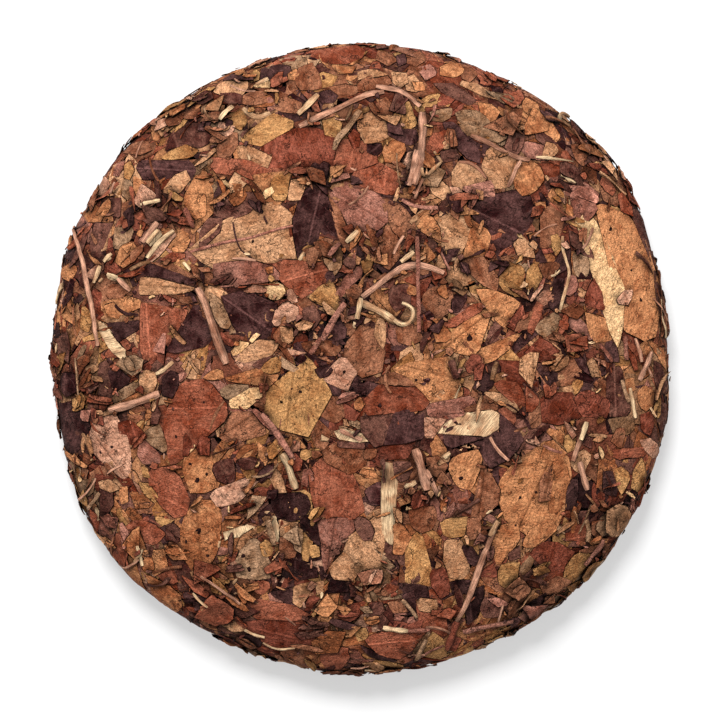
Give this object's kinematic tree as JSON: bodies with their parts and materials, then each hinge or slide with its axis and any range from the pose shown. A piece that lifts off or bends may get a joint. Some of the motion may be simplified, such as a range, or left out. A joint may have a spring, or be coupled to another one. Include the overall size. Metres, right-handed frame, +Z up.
{
  "type": "white tea cake",
  "caption": "Round, domed cake of compressed aged white tea leaves, with a thin uneven rim, a flat foot ring and a shallow dimple underneath.",
  "frame": {"origin": "middle of the underside, on the surface that the cake rests on", "axes": "+Z up through the crown; +Y towards the top of the picture and +X to its right"},
  "size_m": [0.196, 0.2012, 0.0274],
  "materials": {
    "pressed_leaf": "matte pressed dried leaves, from tan and russet to near black, with pale stems and buds"
  },
  "bodies": {
    "root": {"tea_cake": "pressed_leaf"}
  },
  "joints": []
}
